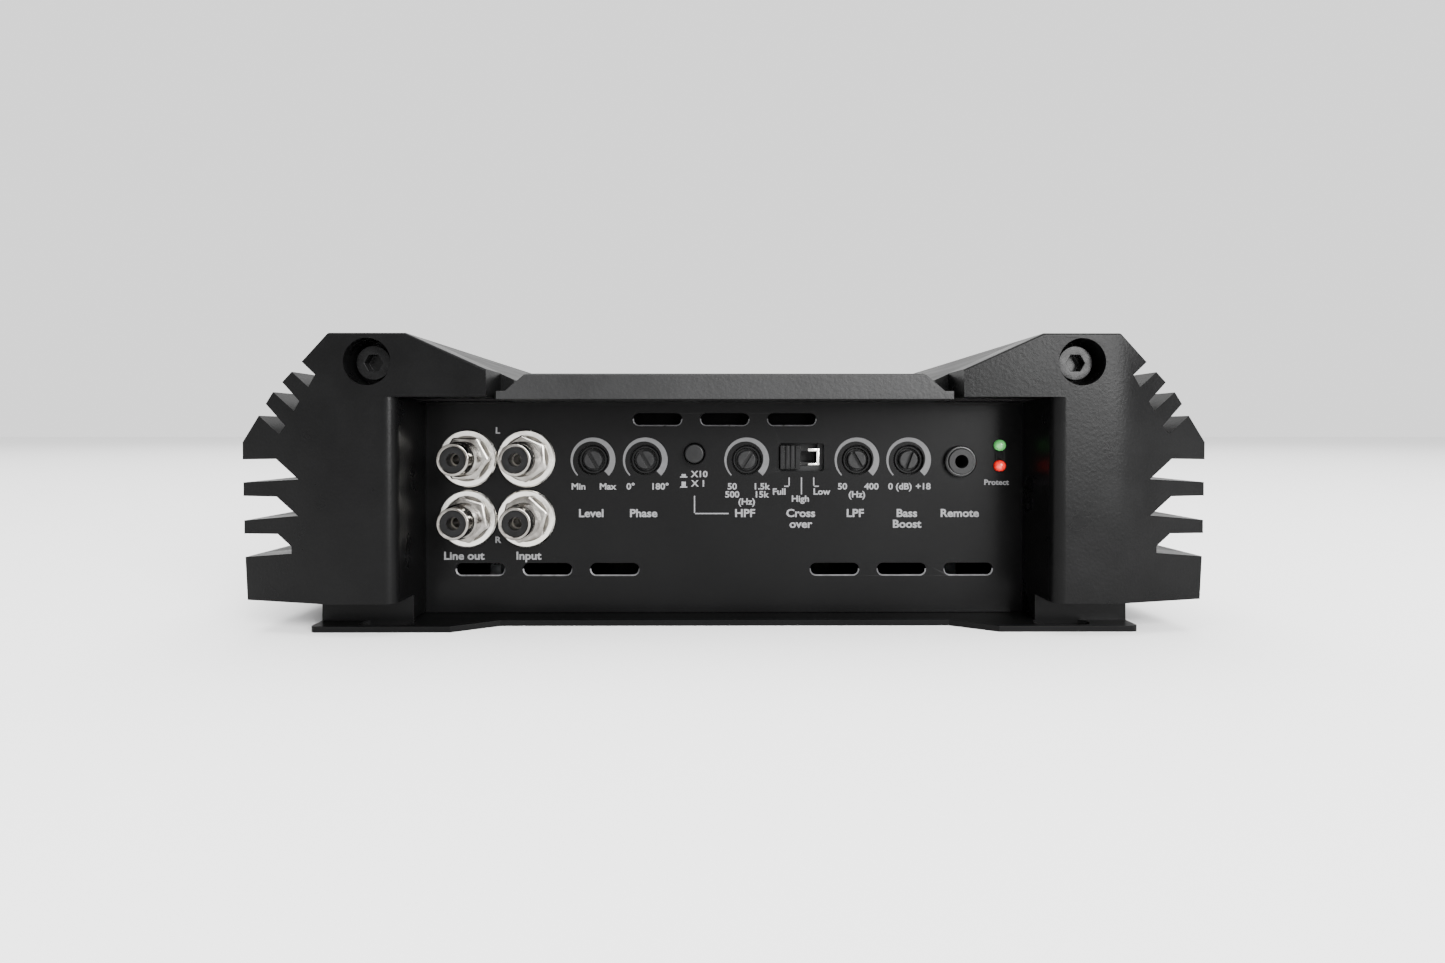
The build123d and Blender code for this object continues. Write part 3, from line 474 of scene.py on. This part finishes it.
def hex_nut(depth):
    """A six-sided prism about the origin, with rounded corners and coned faces."""
    nut = bmesh.new()
    corner = NUT_ACROSS / 2 / cos(radians(30))
    bmesh.ops.create_cone(nut, cap_ends=True, segments=6, radius1=corner, radius2=corner, depth=depth)
    sides = [e for e in nut.edges if abs(e.verts[0].co.z - e.verts[1].co.z) > depth / 2]
    bmesh.ops.bevel(nut, geom=sides, offset=NUT_CORNER_RADIUS, offset_type="OFFSET", affect="EDGES",
                    segments=3, profile=0.5, material=-1)
    ends = [f for f in nut.faces if len(f.verts) > 6]
    bmesh.ops.inset_region(nut, faces=ends, thickness=NUT_CONE, depth=NUT_CONE_RISE)
    return nut


nuts = bmesh.new()
washers = bmesh.new()
for name, turn in zip(shell_names, NUT_TURNS):
    centre = middle(name)
    nut = hex_nut(WASHER_FACE - NUT_FACE)
    place = Matrix.Translation((centre.x, (NUT_FACE + WASHER_FACE) / 2, centre.z))
    spanner_turn = Matrix.Rotation(radians(turn), 4, "Z")
    bmesh.ops.transform(nut, verts=nut.verts, matrix=place @ UPRIGHT @ spanner_turn)
    join_into(nuts, nut)
    join_into(washers, turned(WASHER_OUTLINE, centre.x, centre.z))
nut_piece = keep_mesh(nuts, "phono_nuts", "root", shaded_nickel, 30)
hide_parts("rca_nuts")
# The washers' dark metal paints the shadow round the nuts.
keep_mesh(washers, "phono_washers", "root", painted_shade_metal, 35)
print("nuts have", len(nut_piece.data.polygons), "faces")

# %% [markdown]
# Behind each rotary control's hole stands the mouth of its bush, a dark ring round the shaft.

# %% Control bushes
BUSH_BORE, BUSH_RIM = 3.0 * MM, 3.8 * MM
BUSH_FRONT, BUSH_BACK = PANEL_Y + 0.5 * MM, PANEL_Y + 1.6 * MM
BUSH_LEAD = 0.2 * MM
BUSH_OUTLINE = [
    (BUSH_BORE, BUSH_BACK), (BUSH_RIM, BUSH_BACK), (BUSH_RIM, BUSH_FRONT + BUSH_LEAD),
    (BUSH_RIM - 0.25 * MM, BUSH_FRONT), (BUSH_BORE + BUSH_LEAD, BUSH_FRONT),
    (BUSH_BORE, BUSH_FRONT + BUSH_LEAD),
]
bushes = bmesh.new()
for name in sorted(n for n in nodes if n.startswith("pot_shaft")):
    centre = middle(name)
    join_into(bushes, turned(BUSH_OUTLINE, centre.x, centre.z))
keep_mesh(bushes, "control_bushes", "root", black_oxide, 35)

# %% [markdown]
# ## Rims with a painted highlight
# Where a punch leaves a sheet it rolls the edge over. Each vent keeps a thin rim along its lower half,
# where the light catches it: two arcs of a long round-ended slot are bridged, the inner one a little
# deeper. The switch window has a rim all the way round, made by an inset face. The rims' light grey
# is a painted highlight on the rolled edges.

# %% Vent and window rims
VENT_PLACES = [(x, 53.3) for x in (-18.0, 0.0, 18.0)]
VENT_PLACES += [(side * x, 13.1) for side in (-1, 1) for x in (29.5, 47.5, 65.5)]
VENT_STRAIGHT = 4.9 * MM
VENT_RADIUS = 1.75 * MM
RIM = 0.30 * MM
rims = bmesh.new()
for x, z in VENT_PLACES:
    chains = []
    for radius, depth in ((VENT_RADIUS + 0.05 * MM, 0.0), (VENT_RADIUS - RIM, RIM)):
        ring = bmesh.ops.create_circle(rims, segments=48, radius=radius)["verts"]
        lower = [v for v in ring if v.co.y < 0.2 * radius]
        bmesh.ops.delete(rims, geom=[v for v in ring if v not in lower], context="VERTS")
        for vertex in lower:
            slide = VENT_STRAIGHT if vertex.co.x > 0 else -VENT_STRAIGHT
            vertex.co = Vector((x * MM + vertex.co.x + slide, PANEL_Y + depth, z * MM + vertex.co.y))
        chains += list({e for v in lower for e in v.link_edges})
    bmesh.ops.bridge_loops(rims, edges=chains)
window_low, window_high = Vector((14.6, 0, 39.5)) * MM, Vector((26.6, 0, 46.9)) * MM
grid = bmesh.ops.create_grid(rims, x_segments=1, y_segments=1, size=0.5)["verts"]
wide = window_high - window_low
spot = (window_high + window_low) / 2 + Vector((0, PANEL_Y, 0))
bmesh.ops.transform(rims, verts=grid, matrix=Matrix.Translation(spot) @ UPRIGHT
                    @ Matrix.Diagonal((wide.x, wide.z, 1, 1)))
pane = [f for f in rims.faces if grid[0] in f.verts]
bmesh.ops.inset_region(rims, faces=pane, thickness=RIM, depth=-RIM)
bmesh.ops.delete(rims, geom=pane, context="FACES")
print("rims have", len(rims.faces), "faces")
# The rims take the light grey of the painted highlight.
keep_mesh(rims, "painted_highlight_rims", "root", rim_highlight_finish, 60)

# %% [markdown]
# The slide switch's body is dark moulding, whose dark colour paints the shade in the switch's
# recess. A bright bent clip stands in it beside the knob, and a near black sheet hangs behind the
# upper vents at each end of the case, as painted shade that keeps the vents black.

# %% Switch clip and painted shade sheets
def add_block(block_mesh, low, high):
    """Add a box between two corners, with softened edges."""
    made = bmesh.ops.create_cube(block_mesh, size=1.0)["verts"]
    low, high = Vector(low) * MM, Vector(high) * MM
    size = high - low
    bmesh.ops.transform(block_mesh, verts=made, matrix=Matrix.Translation((low + high) / 2)
                        @ Matrix.Diagonal((*size, 1)))
    edges = list({e for v in made for e in v.link_edges})
    bmesh.ops.bevel(block_mesh, geom=edges, offset=min(size) * 0.2, offset_type="OFFSET",
                    affect="EDGES", segments=2, profile=0.5, material=-1)


CLIP_SETBACK, CLIP_THICKNESS = 1.9, 0.3
CLIP_LEFT, CLIP_RIGHT = 22.6, 25.6
CLIP_BOTTOM, CLIP_TOP = 41.0, 45.5
clip_front = PANEL_Y / MM + CLIP_SETBACK
clip_back = clip_front + CLIP_THICKNESS
clip = bmesh.new()
add_block(clip, (CLIP_RIGHT - 0.7, clip_front, CLIP_BOTTOM), (CLIP_RIGHT, clip_back, CLIP_TOP))
add_block(clip, (CLIP_LEFT, clip_front, CLIP_TOP - 0.7), (CLIP_RIGHT - 0.6, clip_back, CLIP_TOP))
add_block(clip, (CLIP_LEFT, clip_front, CLIP_BOTTOM), (CLIP_RIGHT - 0.6, clip_back, CLIP_BOTTOM + 0.5))
keep_mesh(clip, "switch_clip", "root", tinned, 40)
# Sheets of painted shade behind the upper vents, at both ends of the case.
SHADE_SHEET_HALF_WIDTH, SHADE_SHEET_BOTTOM, SHADE_SHEET_TOP = 62.0, 50.3, 57.6
SHADE_SHEET_OUTSIDE, SHADE_SHEET_INSIDE = 140.0, 139.5
shade_sheets = bmesh.new()
for end in (-1, 1):
    near, far = sorted((end * SHADE_SHEET_OUTSIDE, end * SHADE_SHEET_INSIDE))
    add_block(shade_sheets, (-SHADE_SHEET_HALF_WIDTH, near, SHADE_SHEET_BOTTOM), (SHADE_SHEET_HALF_WIDTH, far, SHADE_SHEET_TOP))
keep_mesh(shade_sheets, "painted_shade_sheets", "root", shade_sheet_black, 40)

# %% [markdown]
# ## Wound cores
# A toroid is a ring core wound with enamelled wire. A rounded section is spun round, and every
# second ring of points is pushed outwards, so that the ring is ribbed turn by turn.


# %% Windings
def wound_core(node, turns):
    low, high = span(node)
    centre = (low + high) / 2
    outer = (high.x - low.x) / 2
    height = high.z - low.z
    rib = 0.7 * MM
    inner = outer * 0.42
    core = bmesh.new()
    width = (outer - inner) / 2 - rib
    half = height / 2 - rib
    loop = bmesh.ops.create_circle(core, segments=20, radius=1.0)["verts"]
    for vertex in loop:
        squared = max(abs(vertex.co.x), abs(vertex.co.y)) ** 0.5
        vertex.co = Vector(((outer + inner) / 2 + vertex.co.x / squared * width, 0,
                            vertex.co.y / squared * half))
    bmesh.ops.spin(core, geom=loop + core.edges[:], cent=(0, 0, 0), axis=(0, 0, 1), angle=2 * pi,
                   steps=turns * 2, use_merge=True)
    bmesh.ops.remove_doubles(core, verts=core.verts, dist=1e-7)
    middle_ring = (outer + inner) / 2
    for vertex in core.verts:
        step = round(atan2(vertex.co.y, vertex.co.x) / (pi / turns))
        if step % 2:
            flat = Vector((vertex.co.x, vertex.co.y, 0))
            heart = flat.normalized() * middle_ring
            vertex.co = heart + (vertex.co - heart) * (1 + rib / max(width, half))
    bmesh.ops.recalc_face_normals(core, faces=core.faces)
    bmesh.ops.translate(core, verts=core.verts, vec=centre)
    piece = keep_mesh(core, "wound_" + node, "root", enamelled_copper, 60)
    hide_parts(node)
    print(piece.name, len(piece.data.polygons), "faces")


wound_core("power_transformer", 54)
wound_core("output_inductor", 36)

# %% [markdown]
# ## Printed legends
# The legends are silk-screened in one mid grey ink, a few hundredths of a millimetre thick. Each
# word is a flat text curve made into a mesh, turned upright and laid on the panel, and all words
# and lines are joined into one print, as one screen prints them.

# %% Printing helpers
PRINT_LIFT = 0.02 * MM
PRINT_THICKNESS = 0.03 * MM
SMALL_TYPE = 2.35 * MM
NAME_TYPE = 2.95 * MM
STROKE = 0.32 * MM


def on_panel(x, z):
    """The matrix that stands a flat drawing upright on the control panel."""
    return Matrix.Translation((x, PANEL_Y - PRINT_LIFT, z)) @ UPRIGHT


def add_word(print_mesh, text, x, z, size):
    """Add one word of type, centred at a place on the panel."""
    curve = bpy.data.curves.new("word", "FONT")
    curve.body = text
    curve.size = size
    curve.align_x = "CENTER"
    curve.align_y = "CENTER"
    curve.offset = size * 0.026
    curve.extrude = PRINT_THICKNESS / 2
    curve.resolution_u = 3
    word = bpy.data.objects.new("word", curve)
    mesh = bpy.data.meshes.new_from_object(word)
    mesh.transform(on_panel(x, z) @ Matrix.Diagonal((1.10, 1.0, 1.0, 1.0)))
    print_mesh.from_mesh(mesh)
    bpy.data.objects.remove(word)
    bpy.data.meshes.remove(mesh)


def add_stroke(print_mesh, start, end):
    """Add one printed line between two (x, z) places."""
    first = Vector((start[0], 0, start[1]))
    last = Vector((end[0], 0, end[1]))
    along = last - first
    made = bmesh.ops.create_cube(print_mesh, size=1.0)["verts"]
    turn = along.to_track_quat("X", "Y").to_matrix().to_4x4()
    size = Matrix.Diagonal((along.length + STROKE, STROKE, STROKE, 1))
    centre = (first + last) / 2
    bmesh.ops.transform(print_mesh, verts=made, matrix=turn @ size)
    for vertex in made:
        vertex.co.y = vertex.co.y / STROKE * PRINT_THICKNESS
    place = Vector((centre.x, PANEL_Y - PRINT_LIFT, centre.z))
    bmesh.ops.translate(print_mesh, verts=made, vec=place)


# %% Words and lines
DIALS = {
    "pot_shaft_level": ("Min", "Max", "Level"),
    "pot_shaft_phase": ("0°", "180°", "Phase"),
    "pot_shaft_high_pass": ("50", "1.5k", "HPF"),
    "pot_shaft_low_pass": ("50", "400", "LPF"),
    "pot_shaft_bass_boost": ("0", "+18", "Bass"),
}
legend = bmesh.new()
NAME_DROP = 14.4 * MM
RANGE_DROP = 7.2 * MM
RANGE_SPREAD = 3.9 * MM
LINE_STEP = 2.15 * MM
for shaft, (low_word, high_word, name_word) in DIALS.items():
    spot = middle(shaft)
    wide = 1.25 if shaft == "pot_shaft_bass_boost" else 1.0
    add_word(legend, low_word, spot.x - RANGE_SPREAD * wide, spot.z - RANGE_DROP, SMALL_TYPE)
    add_word(legend, high_word, spot.x + RANGE_SPREAD, spot.z - RANGE_DROP, SMALL_TYPE)
    add_word(legend, name_word, spot.x - 0.5 * MM, spot.z - NAME_DROP, NAME_TYPE)
high_pass = middle("pot_shaft_high_pass")
low_pass = middle("pot_shaft_low_pass")
bass = middle("pot_shaft_bass_boost")
second_line = high_pass.z - RANGE_DROP - LINE_STEP
add_word(legend, "500", high_pass.x - RANGE_SPREAD, second_line, SMALL_TYPE)
add_word(legend, "15k", high_pass.x + RANGE_SPREAD, second_line, SMALL_TYPE)
add_word(legend, "(Hz)", high_pass.x, second_line - LINE_STEP * 0.9, SMALL_TYPE)
add_word(legend, "(Hz)", low_pass.x, second_line, SMALL_TYPE)
add_word(legend, "(dB)", bass.x - 1.3 * MM, bass.z - RANGE_DROP, SMALL_TYPE)
add_word(legend, "Boost", bass.x - 0.5 * MM, bass.z - NAME_DROP - 2.9 * MM, NAME_TYPE)

button = middle("push_button")
add_word(legend, "X10", button.x + 1.3 * MM, button.z - 5.6 * MM, SMALL_TYPE)
add_word(legend, "X 1", button.x + 1.1 * MM, button.z - 8.1 * MM, SMALL_TYPE)
corner = (button.x, high_pass.z - NAME_DROP)
add_stroke(legend, (button.x, button.z - 11.5 * MM), corner)
add_stroke(legend, corner, (high_pass.x - 5.0 * MM, corner[1]))

window = middle("slide_switch_body")
tick_top = window.z - 5.6 * MM
TICK = 3.3 * MM
for step in (-1, 0, 1):
    tick_x = window.x + step * TICK
    length = 4.2 * MM if step == 0 else 2.2 * MM
    add_stroke(legend, (tick_x, tick_top), (tick_x, tick_top - length))
    if step:
        add_stroke(legend, (tick_x, tick_top - length), (tick_x + step * 1.2 * MM, tick_top - length))
add_word(legend, "Full", window.x - 6.0 * MM, window.z - 9.3 * MM, SMALL_TYPE)
add_word(legend, "High", window.x - 0.3 * MM, window.z - 11.2 * MM, SMALL_TYPE)
add_word(legend, "Low", window.x + 5.4 * MM, window.z - 9.3 * MM, SMALL_TYPE)
add_word(legend, "Cross", window.x - 0.2 * MM, bass.z - NAME_DROP, NAME_TYPE)
add_word(legend, "over", window.x - 0.2 * MM, bass.z - NAME_DROP - 2.9 * MM, NAME_TYPE)

jack = middle("remote_jack_ring")
lamp = middle("led_protect")
add_word(legend, "Remote", jack.x, bass.z - NAME_DROP, NAME_TYPE)
add_word(legend, "Protect", lamp.x - 0.8 * MM, lamp.z - 4.5 * MM, SMALL_TYPE * 0.85)
outer = middle("rca_shell_lower_left")
inner = middle("rca_shell_lower_right")
upper = middle("rca_shell_upper_left")
between = (outer.x + inner.x) / 2
add_word(legend, "L", between, upper.z + 7.4 * MM, SMALL_TYPE)
add_word(legend, "R", between, outer.z - 5.8 * MM, SMALL_TYPE)
add_word(legend, "Line out", outer.x - 1.3 * MM, outer.z - 10.1 * MM, NAME_TYPE)
add_word(legend, "Input", inner.x + 0.4 * MM, outer.z - 10.1 * MM, NAME_TYPE)
print("legend has", len(legend.faces), "faces")

# %% [markdown]
# The two small signs beside the button show a raised and a pressed cap: a short block on a foot
# line. The raised one is taller.

# %% Button signs, and the finished print
sign_x = button.x - 2.9 * MM
for drop, height in ((6.3 * MM, 0.7 * MM), (9.0 * MM, 1.5 * MM)):
    foot = button.z - drop
    add_stroke(legend, (sign_x - 0.8 * MM, foot), (sign_x + 0.8 * MM, foot))
    for level in range(int(height / STROKE)):
        z = foot + STROKE * (level + 1)
        add_stroke(legend, (sign_x - 0.4 * MM, z), (sign_x + 0.4 * MM, z))
keep_mesh(legend, "printed_legends", "root", ink)

# %% [markdown]
# ## Dial scales
# Around each rotary control is a printed crescent that grows from a thin tail at the low end to a
# thick head at the high end. An edge is spun through three quarters of a turn, then the inner
# rim is pulled inwards in step with the angle.

# %% Dials
DIAL_OUTER = 6.0 * MM
DIAL_THIN = 0.35 * MM
DIAL_THICK = 1.75 * MM
DIAL_TURN = radians(270)
DIAL_STEPS = 72


def add_dial(dials, x, z):
    start = radians(225)
    outward = Vector((cos(start), 0, sin(start)))
    before = set(dials.verts)
    ends = [dials.verts.new(outward * (DIAL_OUTER - DIAL_THIN)), dials.verts.new(outward * DIAL_OUTER)]
    edge = dials.edges.new(ends)
    bmesh.ops.spin(dials, geom=ends + [edge], cent=(0, 0, 0), axis=(0, 1, 0), angle=DIAL_TURN,
                   steps=DIAL_STEPS, use_merge=False)
    points = [v for v in dials.verts if v not in before]
    for vertex in points:
        reach = vertex.co.length
        if reach < DIAL_OUTER - DIAL_THIN / 2:
            swept = (start - atan2(vertex.co.z, vertex.co.x) + 0.001) % (2 * pi)
            thickness = DIAL_THIN + (DIAL_THICK - DIAL_THIN) * swept / DIAL_TURN
            vertex.co *= (DIAL_OUTER - thickness) / reach
    bmesh.ops.translate(dials, verts=points, vec=(x, PANEL_Y - PRINT_LIFT, z))


dials = bmesh.new()
for shaft in DIALS:
    spot = middle(shaft)
    add_dial(dials, spot.x, spot.z)
thick = bmesh.ops.extrude_face_region(dials, geom=dials.faces[:])["geom"]
bmesh.ops.translate(dials, verts=[v for v in thick if isinstance(v, bmesh.types.BMVert)],
                    vec=(0, -PRINT_THICKNESS, 0))
bmesh.ops.recalc_face_normals(dials, faces=dials.faces)
print("dials have", len(dials.faces), "faces")
keep_mesh(dials, "printed_dials", "root", dial_ink)

# %% [markdown]
# ## Light and camera
# The camera stands close in front of the control end, a little above the panel's middle, with a
# wide lens. A key softbox hangs above and in front, a large one overhead lights the floor and the
# tops of the pieces, and one at the right gives the brighter right-hand cap. The pale floor runs
# back into an evenly lit pale surround.

# %% Camera
camera_data = bpy.data.cameras.new("camera")
camera_data.sensor_width = 36.0
camera_data.lens = 19.4126
camera_data.shift_y = -0.0298
camera_data.clip_start = 0.01
camera = bpy.data.objects.new("camera", camera_data)
camera.location = (-1.66 * MM, -354.0 * MM, 49.5 * MM)
camera.rotation_euler = (radians(90) - 0.006, 0.0, -0.0051)
bpy.context.scene.collection.objects.link(camera)
bpy.context.scene.camera = camera
print("lens", round(camera_data.lens, 2))


# %% Floor, surround and softboxes
def softbox(name, location, target, width, height, power):
    light_data = bpy.data.lights.new(name, "AREA")
    light_data.shape = "RECTANGLE"
    light_data.size = width
    light_data.size_y = height
    light_data.energy = power
    light = bpy.data.objects.new(name, light_data)
    light.location = location
    aim = Vector(target) - Vector(location)
    light.rotation_euler = aim.to_track_quat("-Z", "Y").to_euler()
    bpy.context.scene.collection.objects.link(light)


floor_mesh = bmesh.new()
bmesh.ops.create_grid(floor_mesh, x_segments=1, y_segments=1, size=12.0)
floor_data = bpy.data.meshes.new("floor")
floor_mesh.to_mesh(floor_data)
floor_mesh.free()
floor = bpy.data.objects.new("floor", floor_data)
bpy.context.scene.collection.objects.link(floor)
pale = finish("pale_floor", (0.90, 0.90, 0.90), 0.9, specular=0.1)
floor_data.materials.append(pale)

world = bpy.data.worlds.new("surround")
world.use_nodes = True
surround = world.node_tree.nodes["Background"]
surround.inputs["Color"].default_value = (1.0, 1.0, 1.0, 1)
surround.inputs["Strength"].default_value = 1.5
bpy.context.scene.world = world

softbox("key", (0.30, -1.35, 0.85), (0, -0.12, 0.04), 0.9, 0.45, 28)
softbox("overhead", (0.0, 0.4, 2.6), (0, 0.3, 0.0), 3.0, 3.0, 110)
softbox("right", (0.74, -1.25, 0.40), (0.05, -0.15, 0.04), 0.6, 0.6, 46)
